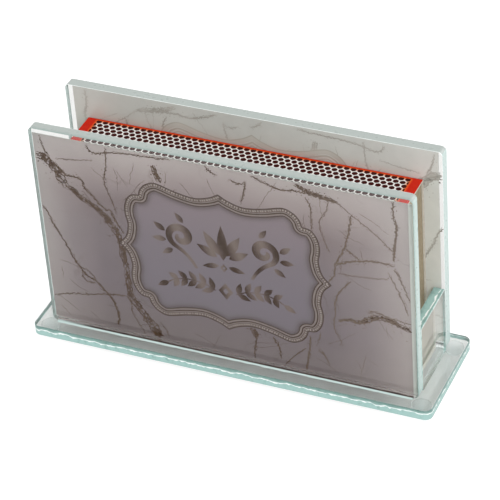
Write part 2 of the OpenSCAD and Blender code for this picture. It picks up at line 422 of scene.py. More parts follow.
def fillet_material():
    """The bead of adhesive along a panel's foot: painted dark above, as painted shade with the red of the box
    in it, and painted bright below, a painted reflection of the base."""
    shader = Shader("adhesive_bead_painted_reflections")
    tone = shader.add("Attribute", out="Fac", attribute_name="tone")
    broken = shader.spread(shader.noise(160.0, 3.0), 0.35, 0.6)
    dark = shader.mix(broken, srgb(26, 10, 5), srgb(62, 46, 37))
    colour = shader.mix(tone, dark, srgb(196, 214, 211))
    return shader.finish(shader.principled(Base_Color=colour, Roughness=0.3, Specular_IOR_Level=0.15))


def floor_material():
    """White to the camera, and through glass, but shaded as a plain floor is where the object stands."""
    shader = Shader("plain_floor")
    plain = shader.add("BsdfDiffuse", {"Color": (0.72, 0.72, 0.72, 1)})
    path = shader.add("LightPath").node
    white = shader.add("AddShader", {0: shader.add("Emission", {"Color": (1, 1, 1, 1), "Strength": 0.72}),
                                     1: shader.add("BsdfDiffuse", {"Color": (0.42, 0.42, 0.42, 1)})})
    pale = shader.add("BsdfDiffuse", {"Color": (0.88, 0.86, 0.85, 1)})
    through = shader.math("MAXIMUM", path.outputs["Is Glossy Ray"], path.outputs["Is Transmission Ray"])
    surface = shader.add("MixShader", {0: path.outputs["Is Camera Ray"], 1: plain, 2: white})
    return shader.finish(shader.add("MixShader", {0: through, 1: surface, 2: pale}))


# Shapes


def piece(name, verts, faces, materials, body, which=None, smooth=False):
    """A mesh that rides on a CAD body. which gives each face's place in materials."""
    mesh = bpy.data.meshes.new(name)
    mesh.from_pydata([tuple(v) for v in verts], [], faces)
    for material in materials:
        mesh.materials.append(material)
    if which is not None:
        mesh.polygons.foreach_set("material_index", which)
    mesh.polygons.foreach_set("use_smooth", [smooth] * len(mesh.polygons))
    mesh.update()
    obj = bpy.data.objects.new(name, mesh)
    bpy.context.scene.collection.objects.link(obj)
    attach(obj, body)
    return obj


def put_attribute(obj, name, domain, values):
    layer = obj.data.attributes.new(name, "FLOAT", domain)
    layer.data.foreach_set("value", values)


def smooth_path(points, step, closed=False):
    """Points about one step apart on a curve through the given ones."""
    points = [np.array(p, float) for p in points]
    if closed:
        points = [points[-1]] + points + points[:2]
    else:
        points = [2 * points[0] - points[1]] + points + [2 * points[-1] - points[-2]]
    path = []
    for before, start, end, after in zip(points, points[1:], points[2:], points[3:]):
        count = max(2, round(np.linalg.norm(end - start) / step))
        for k in range(count):
            t = k / count
            path.append(0.5 * (2 * start + (end - before) * t
                               + (2 * before - 5 * start + 4 * end - after) * t * t
                               + (3 * start - before - 3 * end + after) * t ** 3))
    if not closed:
        path.append(points[-2])
    return np.array(path)


def side_normals(path):
    """Unit vectors to the left of a path."""
    way = np.gradient(path, axis=0)
    way /= np.maximum(np.linalg.norm(way, axis=1), 1e-9)[:, None]
    return np.stack([-way[:, 1], way[:, 0]], axis=1)


def wave(position, seed):
    """Smooth noise from -1 to 1 along a line."""
    return noise.noise(Vector((position, seed * 7.31, seed * 3.17)))


def ribbon(path, left, right):
    """A flat strip along a path, left and right being how far its two edges lie from it."""
    normals = side_normals(path)
    corners = np.concatenate([path + normals * left[:, None], path - normals * right[:, None]])
    count = len(path)
    shown = (left + right) > 0.02
    faces = [(i, i + count, i + count + 1, i + 1) for i in range(count - 1) if shown[i] and shown[i + 1]]
    return corners, faces


def turned_blob(x, z, along, across, turn, sides=6):
    """A small ragged patch, longer one way than the other."""
    outline = []
    for k in range(sides):
        angle = 2 * math.pi * k / sides
        reach = random.uniform(0.55, 1.0)
        a = reach * along * math.cos(angle)
        b = reach * across * math.sin(angle)
        outline.append((x + a * math.cos(turn) - b * math.sin(turn),
                        z + a * math.sin(turn) + b * math.cos(turn)))
    return outline


class Drawing:
    """Flat shapes collected on the print's grid."""

    def __init__(self):
        self.corners = []
        self.faces = []

    def add(self, corners, faces):
        start = len(self.corners)
        self.corners.extend((float(x), float(z)) for x, z in corners)
        self.faces.extend(tuple(start + i for i in face) for face in faces)

    def fill(self, outline):
        self.add(outline, [tuple(range(len(outline)))])

    def strip(self, path, widths):
        half = np.asarray(widths) / 2
        self.add(*ribbon(path, half, half))

    def enlarged(self, factor):
        """The same shapes, larger about the label's middle."""
        larger = Drawing()
        larger.corners = [(LABEL_X + (x - LABEL_X) * factor, LABEL_Z + (z - LABEL_Z) * factor)
                          for x, z in self.corners]
        larger.faces = self.faces
        return larger

    def on_film(self, name, side, lift, material):
        """side is -1 on the front film and 1 on the back one. No two shapes lie quite in one plane."""
        shift_x, shift_z = PRINT_SHIFT[side]
        verts = []
        faces = []
        for number, face in enumerate(self.faces):
            y = side * (HALF_GAP + lift + number % 16 * 0.0002 * MM)
            start = len(verts)
            for i in face:
                x, z = self.corners[i]
                verts.append(((shift_x - side * x * GRID) * MM, y, (shift_z + z * GRID) * MM + GRID_Z))
            faces.append(tuple(range(start, start + len(face))))
        return piece(name, verts, faces, [material], "holder")


# Where each side's print lies on its film, across and up, and how large its label is
PRINT_SHIFT = {-1: (0.3, 0.0), 1: (-0.2, 2.4)}
LABEL_SIZE = {-1: 1.0, 1: 1.165}
# The grid's stretch that carries print: from left to right, then from bottom to top
PRINT_AREA = (-60.4, 58.2, 4.3, 73.2)

# Veins of the marble: width at the start, width at the end, and the points each runs through
BROAD_VEINS = (
    (2.2, 2.6, ((-61, 65.8), (-58, 65), (-55, 62), (-53, 58), (-51.5, 55.8))),
    (1.3, 1.5, ((-51.5, 55.8), (-49.5, 55), (-47.5, 52.8), (-44.5, 51.3), (-41.5, 49.2), (-39, 47))),
    (2.0, 1.5, ((-39.6, 48), (-38, 45), (-36, 41), (-35, 38), (-34.8, 33), (-34.3, 28))),
    (1.5, 2.8, ((-34.3, 28), (-34, 21), (-33.5, 17.5), (-31.5, 14.5), (-29, 11), (-26.5, 7), (-25, 4))),
    (1.3, 1.6, ((-21.6, 70), (-20.9, 67), (-19.8, 64))),
    (0.6, 1.7, ((35.5, 26), (39, 27), (42, 26.7), (46, 29), (49, 30.3))),
    (1.6, 1.0, ((49, 30.3), (53, 29.5), (58.7, 27.2))),
    (2.4, 1.2, ((6.6, 16), (7.6, 14.2), (8, 12))),
    (1.1, 0.9, ((24, 73), (27, 71.5), (31, 70.5), (37, 69.4))),
)
VEINS = (
    (0.8, 0.5, ((-55, 64), (-52, 60.5), (-49.5, 60), (-46.5, 59.5), (-45.5, 56.5), (-43.5, 54.5),
                (-41, 51.5), (-39, 50), (-37.5, 50))),
    (0.7, 0.4, ((-37.5, 50), (-36.8, 47.5), (-35, 44), (-33.5, 42))),
    (0.5, 0.9, ((-61, 47), (-59.5, 44.5), (-58, 40.5), (-56, 36.5), (-54, 32.5), (-52, 28), (-49.5, 24),
                (-48, 22.5), (-45, 20.8), (-43, 18.5), (-40.5, 15.5), (-39.5, 12.5), (-38.8, 9),
                (-39.5, 5.5))),
    (0.4, 0.3, ((-50.8, 25.6), (-48.4, 25), (-46.2, 23), (-45, 20.8))),
    (0.4, 0.4, ((-49.5, 24), (-50, 22.4), (-48.6, 20.6), (-45.6, 20.4))),
    (0.35, 0.5, ((-61, 12.3), (-55, 14.2), (-49, 15.3), (-43, 16.8), (-35, 18))),
    (0.3, 0.6, ((-59, 73), (-58, 68.5), (-56.5, 66))),
    (0.25, 0.15, ((-54.5, 65.5), (-48, 66.4), (-42, 67.5))),
    (0.45, 0.35, ((-37.2, 73), (-37, 71), (-37.5, 66), (-38.5, 62), (-38.5, 59.5), (-36.5, 53),
                  (-35.5, 49))),
    (0.5, 0.4, ((-43.5, 73), (-41.5, 70.3), (-33, 72), (-22, 72.7), (-16, 73.2))),
    (0.4, 0.9, ((-1, 70.5), (-3, 71.8), (-4.5, 73.4))),
    (0.6, 0.5, ((10, 73), (18, 70.2), (24, 70.6), (31, 69.9), (37.5, 69))),
    (0.4, 0.7, ((3, 70.2), (5.6, 69.2), (7.6, 69.4))),
    (0.6, 0.3, ((8.2, 70.6), (7.6, 67), (6.2, 62))),
    (0.5, 0.35, ((27, 69), (28.3, 66), (28.5, 61), (28.5, 57))),
    (0.3, 0.3, ((36.5, 69.5), (41, 66), (45, 63), (49, 60), (53.5, 55.5))),
    (0.8, 0.5, ((41.2, 66), (40.5, 62), (39.5, 57), (38, 52), (35.5, 47), (34.5, 42), (32, 39))),
    (0.6, 0.9, ((54.3, 73.5), (54, 69), (55, 64), (54.3, 58), (53.8, 52))),
    (0.8, 0.7, ((35.5, 46.5), (39, 48.3), (43, 49.5), (47, 50.5), (54, 50.5))),
    (0.6, 0.4, ((38.5, 53.5), (41, 51.6), (43.5, 49.5))),
    (0.3, 0.3, ((52, 47.5), (55, 41), (58, 33))),
    (0.5, 0.3, ((54, 49.5), (56, 45), (58.5, 38))),
    (0.35, 0.3, ((34, 71), (33.5, 66), (31, 61), (32, 56), (33.5, 51))),
    (0.7, 0.3, ((40, 41.5), (37.5, 38.5), (35, 34), (34.5, 28), (34, 23), (36.5, 16.5))),
    (0.3, 0.2, ((36, 43.5), (44, 44), (52, 45.2))),
    (0.5, 0.35, ((45, 31), (47, 32), (52, 30.8), (58.7, 30))),
    (0.8, 0.35, ((8, 12.2), (7.5, 9), (6.8, 3.8))),
    (0.9, 0.5, ((13.4, 14), (15.2, 11), (16, 6))),
    (0.7, 0.8, ((26, 17.5), (25.2, 10), (24, 3.8))),
    (0.5, 0.4, ((24.4, 12.4), (20, 8), (17, 4))),
    (0.6, 0.3, ((28.5, 13), (31, 10), (31.5, 7.5))),
    (0.4, 0.2, ((29.5, 20), (28.8, 17), (28, 14.5))),
    (0.35, 0.2, ((-34, 16.5), (-33.6, 11), (-31, 6), (-30.4, 4))),
    (0.3, 0.2, ((-24.5, 10), (-22.5, 7.5), (-22, 5))),
)
HAIRLINES = 80
VEIN_STEP = 0.24


def draw_vein(drawing, points, first, last, seed, wander=0.3):
    """One vein, thin at its two ends. Each of its edges is ragged, and where both draw in it breaks off."""
    path = smooth_path(points, VEIN_STEP)
    count = len(path)
    shift = np.array([wander * wave(i * 0.45, seed) + 0.4 * wander * wave(i * 1.3, seed + 50)
                      for i in range(count)])
    path = path + side_normals(path) * shift[:, None]
    ends = np.minimum(np.arange(count), np.arange(count)[::-1]) / 8
    half = np.linspace(first, last, count) / 2 * np.clip(ends + 0.3, 0, 1)
    edges = []
    for edge in (0, 1):
        rough = np.array([0.85 + 0.75 * wave(i * 0.4, seed + 9 + 13 * edge)
                          + 0.6 * wave(i * 1.7, seed + 21 + edge)
                          for i in range(count)])
        edges.append(half * np.clip(rough, 0.0, 1.9))
    drawing.add(*ribbon(path, *edges))


def scatter_flecks(drawing, points, width, per_mm, size):
    """Grains of ink in and beside a vein, laid along it."""
    path = smooth_path(points, 0.5)
    way = np.gradient(path, axis=0)
    normals = side_normals(path)
    for _ in range(int(len(path) * 0.5 * per_mm)):
        i = random.randrange(len(path))
        x, z = path[i] + normals[i] * random.gauss(0, 0.5 * width)
        if on_print(x, z):
            turn = math.atan2(way[i][1], way[i][0]) + random.gauss(0, 0.5)
            along = size * random.uniform(0.35, 1.0)
            drawing.fill(turned_blob(x, z, along, along * random.uniform(0.3, 0.7), turn))


def on_print(x, z):
    low_x, high_x, low_z, high_z = PRINT_AREA
    return low_x < x < high_x and low_z < z < high_z


def draw_hairline(drawing, seed):
    """A thin crack that starts anywhere, runs nearly straight and dies out."""
    low_x, high_x, low_z, high_z = PRINT_AREA
    x, z = random.uniform(low_x, high_x), random.uniform(low_z, high_z)
    heading = random.gauss(-0.9, 0.7)
    points = [(x, z)]
    for _ in range(random.randint(2, 6)):
        heading += random.uniform(-0.25, 0.25)
        x += 2.2 * math.cos(heading)
        z += 2.2 * math.sin(heading)
        if not on_print(x, z):
            break
        points.append((x, z))
    if len(points) > 2:
        draw_vein(drawing, points, 0.18, 0.1, seed, 0.3)


def draw_veins():
    """The broad speckled veins, and what is drawn in solid ink: strands, thin veins, hairlines, flecks."""
    random.seed(4)
    broad = Drawing()
    solid = Drawing()
    for number, (first, last, points) in enumerate(BROAD_VEINS):
        draw_vein(broad, points, first * 1.1, last * 1.1, 100 + number, 0.5)
        path = smooth_path(points, VEIN_STEP)
        normals = side_normals(path)
        widths = np.linspace(first, last, len(path))
        for strand in range(3):
            side = -0.5 + 0.5 * strand
            seed = 200 + 10 * number + strand
            drift = np.array([side + 0.3 * wave(i * 0.12, seed) for i in range(len(path))])
            line = path + normals * (widths * drift)[:, None]
            draw_vein(solid, line[::4], 0.36, 0.36, seed + 100, 0.3)
        scatter_flecks(solid, points, (first + last) / 2, 3, 0.5)
        scatter_flecks(solid, points, (first + last) * 1.2, 3, 0.34)
    for number, (first, last, points) in enumerate(VEINS):
        draw_vein(solid, points, first * 0.85, last * 0.85, number, 0.5)
        line = [(x + 0.3 * first, z + 0.4 * first) for x, z in points]
        draw_vein(solid, line, first * 0.3, last * 0.3, number + 500, 0.6)
        scatter_flecks(solid, points, (first + last) * 0.9, 3, 0.32)
    for number in range(HAIRLINES):
        draw_hairline(solid, 400 + number)
    return broad, solid


# The label's outline: a quarter from the top point round to the left point, from the label's middle.
# Its stretches meet at the corners of the outline.
LABEL_X = -1.0
LABEL_Z = 38.6
LABEL_QUARTER = (
    ((0, 25.4), (-3.2, 23.6), (-8, 22.4), (-14, 23.3), (-20.4, 25.05), (-23.8, 23.95), (-25.45, 22.3),
     (-26.2, 20.9), (-26.55, 19.5)),
    ((-26.55, 19.5), (-28.8, 19.15), (-30.4, 17.6), (-31.4, 15.4), (-31.8, 13.0), (-31.7, 10.7),
     (-31.2, 7.6), (-32.2, 3.2), (-34.9, 0)),
)
LABEL_STEP = 0.22


def label_loop():
    """Dense points on the label's outline, anticlockwise, with the unit vectors that point inwards."""
    quarter = [list(stretch) for stretch in LABEL_QUARTER]
    mirrored = [[(x, -z) for x, z in reversed(stretch)] for stretch in reversed(quarter)]
    left = quarter + mirrored
    right = [[(-x, -z) for x, z in stretch] for stretch in left]
    points = []
    normals = []
    for stretch in left + right:
        path = smooth_path(stretch, LABEL_STEP)
        inward = side_normals(path)
        if points:
            add_round_corner(points, normals, inward[0])
        points.extend(path)
        normals.extend(inward)
    add_round_corner(points, normals, normals[0])
    return np.array(points) + (LABEL_X, LABEL_Z), np.array(normals)


def add_round_corner(points, normals, following):
    """Turns the inward vector step by step where the outline has a notch, so that inner lines go round it."""
    last = normals[-1]
    turn = math.atan2(last[0] * following[1] - last[1] * following[0], float(np.dot(last, following)))
    if turn > -0.2:
        return
    count = int(abs(turn) / 0.12)
    corner = points[-1]
    for k in range(1, count):
        angle = turn * k / count
        cos, sin = math.cos(angle), math.sin(angle)
        points.append(corner)
        normals.append(np.array([last[0] * cos - last[1] * sin, last[0] * sin + last[1] * cos]))


def parallel_loop(points, normals, distance):
    """The outline moved inwards. Points that come too near another stretch close up to a corner."""
    moved = points + normals * distance
    if distance <= 0:
        return moved
    gaps = np.linalg.norm(moved[:, None, :] - points[None, :, :], axis=2).min(axis=1)
    good = gaps > distance - 0.03
    closed = moved.copy()
    kept = np.flatnonzero(good)
    for i in np.flatnonzero(~good):
        after = kept[np.searchsorted(kept, i) % len(kept)]
        before = kept[np.searchsorted(kept, i) - 1]
        closed[i] = (moved[before] + moved[after]) / 2
    return closed


def draw_band(drawing, outer, inner):
    count = len(outer)
    faces = []
    for i in range(count):
        j = (i + 1) % count
        if np.allclose(outer[i], outer[j], atol=1e-6) and np.allclose(inner[i], inner[j], atol=1e-6):
            continue
        faces.append((i, j, j + count, i + count))
    drawing.add(np.concatenate([outer, inner]), faces)


# Bands of the frame, from the outline inwards: where each starts and ends
FRAME_LINES = ((0.0, 0.3), (1.75, 2.2), (2.75, 3.05))
FRAME_GROUND = ((0.3, 1.45),)
FRAME_LIGHTS = ((1.45, 1.75), (2.2, 2.75))
# The row of pale beads in the frame's broad band: how far in it runs, its pitch, and a bead's half sizes
# across the band and along it
BEAD_ROW = 0.86
BEAD_PITCH = 0.84
BEAD_HALF = (0.36, 0.24)
SHADE_RINGS = ((3.0, 0.8), (3.5, 0.5), (4.4, 0.15), (5.4, 0.0))


def bead_row(drawing, loop, normals):
    """Small upright beads, evenly spaced along a loop."""
    steps = np.linalg.norm(np.roll(loop, -1, axis=0) - loop, axis=1)
    run = np.cumsum(steps)
    across, along = BEAD_HALF
    for number in range(int(run[-1] / BEAD_PITCH)):
        i = np.searchsorted(run, number * BEAD_PITCH)
        out = normals[i] * across
        way = np.array([-normals[i][1], normals[i][0]]) * along
        drawing.fill([loop[i] + way * a + out * b
                      for a, b in ((1, 0.5), (0.5, 1), (-0.5, 1), (-1, 0.5), (-1, -0.5), (-0.5, -1),
                                   (0.5, -1), (1, -0.5))])


def draw_label():
    """The frame's dark lines, its middling and light bands with their strokes, and the ground within."""
    points, normals = label_loop()
    dark, middling, light = Drawing(), Drawing(), Drawing()
    for drawing, bands in ((dark, FRAME_LINES), (middling, FRAME_GROUND), (light, FRAME_LIGHTS)):
        for start, end in bands:
            draw_band(drawing, parallel_loop(points, normals, start), parallel_loop(points, normals, end))
    strokes = Drawing()
    bead_row(strokes, parallel_loop(points, normals, BEAD_ROW), normals)
    return dark, middling, light, strokes, *draw_field(points, normals)


def draw_field(points, normals):
    """The ground within the frame, and the soft shadow round its rim: rings, with each corner's darkness."""
    field = Drawing()
    shade = Drawing()
    darkness = []
    rings = [(parallel_loop(points, normals, distance), level) for distance, level in SHADE_RINGS]
    for (outer, outer_level), (inner, inner_level) in zip(rings, rings[1:]):
        draw_band(shade, outer, inner)
        darkness.extend([outer_level] * len(outer) + [inner_level] * len(inner))
    rim = rings[0][0]
    field.fill([p for i, p in enumerate(rim) if i == 0 or np.linalg.norm(p - rim[i - 1]) > 0.02])
    return field, shade, [darkness[i] for face in shade.faces for i in face]


# The ornament inside the label: a palmette between a pair of scrolls, over two sprays of leaves
ORNAMENT_X = -1.0
PALMETTE_Z = 39.6
# Leaves of the palmette: angle from upright, length and width
PALMETTE = ((0, 13.0, 3.4), (31, 11.6, 3.2), (62, 9.6, 2.9))
# Scrolls to the left of the middle: eye, radius, turns, start angle, way round, tail, greatest width
SCROLLS = (
    (-14.6, 45.6, 4.4, 1.3, -1.9, -1, 8.5, 2.7),
)
# Loose leaves to the left of the middle: foot, length, width, direction
LEAVES = ((-19.7, 46.6, 4.6, 2.1, 2.5), (-19.5, 43.4, 4.8, 2.1, 3.15), (-17.6, 40.4, 4.4, 2.0, 3.75),
          (-13.4, 50.8, 4.2, 1.9, 2.2), (-2.6, 37.4, 5.6, 2.0, 3.35))
SPRAY = ((-4.4, 27.6), (-8.0, 29.2), (-13.0, 29.8), (-17.6, 28.8), (-20.0, 27.4))
SPRAY_LEAF = (4.6, 2.0)
SPRAY_STEP = 30


def leaf(x, z, length, width, angle):
    """A pointed leaf that grows from its foot at (x, z)."""
    shares = [k / 10 for k in range(11)]
    half = [width / 2 * math.sin(math.pi * s ** 0.8) for s in shares]
    side = [(length * s, h) for s, h in zip(shares, half)]
    outline = side + [(a, -h) for a, h in reversed(side[1:-1])]
    cos, sin = math.cos(angle), math.sin(angle)
    return [(x + a * cos - b * sin, z + a * sin + b * cos) for a, b in outline]


def scroll(x, z, radius, turns, start, way, length):
    """A path that runs in along its tail and winds up round (x, z)."""
    points = []
    for k in range(49):
        t = k / 48
        angle = start + way * 2 * math.pi * turns * t
        reach = radius * (1 - 0.8 * t)
        points.append((x + reach * math.cos(angle), z + reach * math.sin(angle)))
    first = np.array(points[0])
    tangent = first - np.array(points[1])
    tangent /= np.linalg.norm(tangent)
    sag = np.array([-tangent[1], tangent[0]]) * way
    tail = [first + tangent * length * s + sag * length * 0.35 * s * s for s in (1.0, 0.75, 0.5, 0.25)]
    return np.array([*tail, *points])


def mirrored_x(points):
    return [(2 * ORNAMENT_X - x, z) for x, z in points][::-1]


def ornament_leaves():
    """Outlines of the leaves left of the middle."""
    leaves = []
    for tilt, length, width in PALMETTE[1:]:
        slant = math.radians(90 + tilt)
        leaves.append(leaf(ORNAMENT_X + 2.2 * math.cos(slant), PALMETTE_Z + 2.2 * math.sin(slant),
                           length - 2.2, width, slant))
    leaves += [leaf(*shape) for shape in LEAVES]
    stem = smooth_path(SPRAY, 0.1)
    way = np.gradient(stem, axis=0)
    for number, i in enumerate(range(6, len(stem) - 20, SPRAY_STEP)):
        heading = math.atan2(way[i][1], way[i][0])
        for turn in (0.85, -0.85):
            length, width = SPRAY_LEAF
            leaves.append(leaf(*stem[i], length * (1 - 0.05 * number), width, heading + turn))
    leaves.append(leaf(*stem[-1], *SPRAY_LEAF, math.atan2(way[-1][1], way[-1][0])))
    return leaves


def draw_ornament():
    drawing = Drawing()
    drawing.fill(leaf(ORNAMENT_X, PALMETTE_Z, *PALMETTE[0][1:], math.pi / 2))
    strips = [(np.array(smooth_path(SPRAY, 0.5)), None)]
    for *shape, width in SCROLLS:
        strips.append((scroll(*shape), width))
    for flip in (False, True):
        for path, width in strips:
            rise = np.sin(np.linspace(0.05, 1, len(path)) * math.pi) ** 0.7
            widths = np.full(len(path), 0.45) if width is None else 0.3 + (width - 0.3) * rise
            drawing.strip(np.array(mirrored_x(path)) if flip else path, widths[::-1] if flip else widths)
        for outline in ornament_leaves():
            drawing.fill(mirrored_x(outline) if flip else outline)
    for reach, hole, z in ((2.4, 0.9, 28.0), (1.2, 0.4, 36.8)):
        outer = [(ORNAMENT_X + reach * math.cos(k * math.pi / 2), z + 1.3 * reach * math.sin(k * math.pi / 2))
                 for k in range(4)]
        inner = [(ORNAMENT_X + hole * math.cos(k * math.pi / 2), z + 1.3 * hole * math.sin(k * math.pi / 2))
                 for k in range(4)]
        draw_band(drawing, np.array(outer), np.array(inner))
    return drawing


# Glass plates

PLATE_CORNER = {"base_plate": 2.4 * MM, "front_panel": 1.6 * MM, "back_panel": 1.6 * MM,
                "left_stop": 0.8 * MM, "right_stop": 0.8 * MM}
EDGE_STEP = 0.7 * MM
ARRIS = 0.14 * MM
# How far below its upper face each plate's cut edge has its crest, and how uneven that is
CREST = {"base_plate": (0.95 * MM, 0.5 * MM), "front_panel": (0.4 * MM, 0.12 * MM),
         "back_panel": (0.4 * MM, 0.14 * MM), "left_stop": (0.7 * MM, 0.25 * MM),
         "right_stop": (0.7 * MM, 0.25 * MM)}
CREST_W = 0.7 * MM
# How bright each line round the cut edge is painted, from the upper or back face to the lower or front one:
# the bright lines are painted highlights on the crest and arrises
EDGE_PAINTED_LIGHT = {"base_plate": (0.0, 0.0, 0.15, 1.0, 0.35, 0.35, 0.6),
              "front_panel": (0.3, 0.56, 0.52, 0.45, 0.4, 0.2, 0.1),
              "back_panel": (0.1, 0.25, 0.45, 0.45, 0.45, 0.4, 0.9),
              "left_stop": (0.9, 0.2, 0.2, 0.9, 0.4, 0.2, 0.9),
              "right_stop": (0.9, 0.2, 0.2, 0.9, 0.4, 0.2, 0.9)}
CREST_DEPTH = 0.1 * MM


def rounded_rectangle(half_a, half_b, radius, step):
    """Points on the outline, anticlockwise, each with its outward unit vector."""
    outline = []
    corners = ((1, 1, 0), (-1, 1, 90), (-1, -1, 180), (1, -1, 270))
    for number, (sign_a, sign_b, first) in enumerate(corners):
        centre = (sign_a * (half_a - radius), sign_b * (half_b - radius))
        for k in range(7):
            angle = math.radians(first + 15 * k)
            outward = (math.cos(angle), math.sin(angle))
            outline.append((centre[0] + radius * outward[0], centre[1] + radius * outward[1], *outward))
        following = corners[(number + 1) % 4]
        angle = math.radians(first + 90)
        outward = (math.cos(angle), math.sin(angle))
        start = (centre[0] + radius * outward[0], centre[1] + radius * outward[1])
        end = (following[0] * (half_a - radius) + radius * outward[0],
               following[1] * (half_b - radius) + radius * outward[1])
        count = max(2, round(math.dist(start, end) / step))
        for k in range(1, count):
            t = k / count
            outline.append((start[0] + (end[0] - start[0]) * t, start[1] + (end[1] - start[1]) * t, *outward))
    return outline


def crest_depth(node, distance, seed):
    """How far below the upper face the crest runs at this distance round the plate."""
    mean, uneven = CREST[node]
    rough = uneven * (wave(distance / (3.4 * MM), seed) + 0.5 * wave(distance / (1.3 * MM), seed + 8))
    return max(0.25 * MM, mean + rough)


def glass_plate(node, normal_axis, seed, materials):
    """A plate that fills its CAD node: polished faces, and ground edges with a wavy crest. An edge that is
    bonded to the base is left polished, since the adhesive fills its grain."""
    low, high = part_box(node)
    centre = (low + high) / 2
    first, second = (normal_axis + 1) % 3, (normal_axis + 2) % 3
    half_t = (high - low)[normal_axis] / 2
    size = high - low
    outline = rounded_rectangle(size[first] / 2, size[second] / 2, PLATE_CORNER[node], EDGE_STEP)
    rings = [[] for _ in range(7)]
    distance = 0.0
    bonded = []
    for number, (a, b, out_a, out_b) in enumerate(outline):
        distance += math.dist((a, b), outline[number - 1][:2]) if number else 0.0
        crest = crest_depth(node, distance, seed)
        width = CREST_W * (1 + 0.9 * wave(distance / (1.1 * MM), seed + 16))
        dent = CREST_DEPTH * (0.5 + 0.5 * wave(distance / (0.9 * MM), seed + 30))
        down = out_a if first == 2 else out_b
        bonded.append(normal_axis != 2 and down < -0.9)
        for ring, (inset, depth) in zip(rings, ((ARRIS, half_t), (0, half_t - ARRIS), (0, half_t - crest),
                                                (dent, half_t - crest - width / 2),
                                                (0, half_t - crest - width), (0, ARRIS - half_t),
                                                (ARRIS, -half_t))):
            place = Vector(centre)
            place[first] += a - out_a * inset
            place[second] += b - out_b * inset
            place[normal_axis] += depth
            ring.append(place)
    count = len(outline)
    verts = [place for ring in rings for place in ring]
    faces = [tuple(range(count)), tuple(6 * count + i for i in reversed(range(count)))]
    which = [0, 0]
    for ring in range(6):
        for i in range(count):
            j = (i + 1) % count
            faces.append((ring * count + i, (ring + 1) * count + i, (ring + 1) * count + j, ring * count + j))
            which.append(0 if bonded[i] and bonded[j] else 1)
    plate = piece(node + "_glass", verts, faces, materials, "holder", which)
    put_attribute(plate, "tone", "POINT", [tone for tone in EDGE_PAINTED_LIGHT[node] for _ in range(count)])
    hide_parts(node)
    return plate


BEAD = 0.8 * MM


def build_bead(node, panel, side, material):
    """The adhesive under a panel, with the bead that it leaves along the panel's outer foot."""
    low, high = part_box(node)
    face_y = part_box(panel)[0].y if side < 0 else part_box(panel)[1].y
    inner_y = high.y if side < 0 else low.y
    left, right = low.x + ARRIS, high.x - ARRIS
    count = 240
    clear = 0.02 * MM
    verts = []
    tones = []
    for k in range(count + 1):
        x = left + (right - left) * k / count
        bulge = BEAD * (1 + 0.25 * wave(k * 0.21, 60 + side) + 0.12 * wave(k * 1.1, 70 + side))
        verts += [(x, inner_y, high.z - clear), (x, face_y + side * clear, high.z - clear),
                  (x, face_y + side * clear, high.z + 0.7 * bulge),
                  (x, face_y + side * 0.2 * bulge, high.z + 0.3 * bulge),
                  (x, face_y + side * 0.4 * bulge, high.z + 0.15 * bulge),
                  (x, face_y + side * 0.95 * bulge, low.z), (x, inner_y, low.z)]
        # Painted light: 0 paints the shade and red box above, 1 the reflection of the base below; near the
        # left end the upper rows are painted paler.
        start = max(0.0, 0.7 - (x - left) / (18 * MM))
        tones += [0.0, 0.0, start, start, 1.0, 1.0, 1.0]
    faces = []
    for k in range(count):
        for i in range(7):
            j = (i + 1) % 7
            face = (7 * k + i, 7 * k + j, 7 * k + 7 + j, 7 * k + 7 + i)
            faces.append(face if side > 0 else face[::-1])
    ends = [tuple(range(7)), tuple(7 * count + i for i in range(7))]
    faces += [ends[0][::-1], ends[1]] if side > 0 else [ends[0], ends[1][::-1]]
    bead = piece(node + "_bead", verts, faces, [material], "holder")
    put_attribute(bead, "tone", "POINT", tones)
    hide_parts(node)


# Plain blocks and films


def block(low, high):
    """Corners and outward faces of a box."""
    verts = [(x, y, z) for x in (low[0], high[0]) for y in (low[1], high[1]) for z in (low[2], high[2])]
    faces = [(0, 1, 3, 2), (4, 6, 7, 5), (0, 4, 5, 1), (2, 3, 7, 6), (0, 2, 6, 4), (1, 5, 7, 3)]
    return verts, faces


def film_piece(side, face, backing):
    """The film itself: printed on the side that is bonded to the glass, plain on the other."""
    node = "front_film" if side < 0 else "back_film"
    low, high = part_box(node)
    if side < 0:
        low.y -= FACE_LIFT
    else:
        high.y += FACE_LIFT
    verts, faces = block(low, high)
    printed = 2 if side < 0 else 3
    which = [0 if number == printed else 1 for number in range(6)]
    film = piece(node + "_sheet", verts, faces, [face, backing], "holder", which)
    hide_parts(node)


# Matchbox

CARD_T = 0.5 * MM
FOLD_R = 0.45 * MM
CUT_R = 0.08 * MM


def sleeve_section(low, high, radius, steps):
    """A rounded rectangle in the YZ plane."""
    half_y, half_z = (high.y - low.y) / 2, (high.z - low.z) / 2
    centre = (low + high) / 2
    points = []
    for sign_y, sign_z, first in ((1, 1, 0), (-1, 1, 90), (-1, -1, 180), (1, -1, 270)):
        for k in range(steps + 1):
            angle = math.radians(first + 90 * k / steps)
            points.append((centre.y + sign_y * (half_y - radius) + radius * math.cos(angle),
                           centre.z + sign_z * (half_z - radius) + radius * math.sin(angle)))
    return points


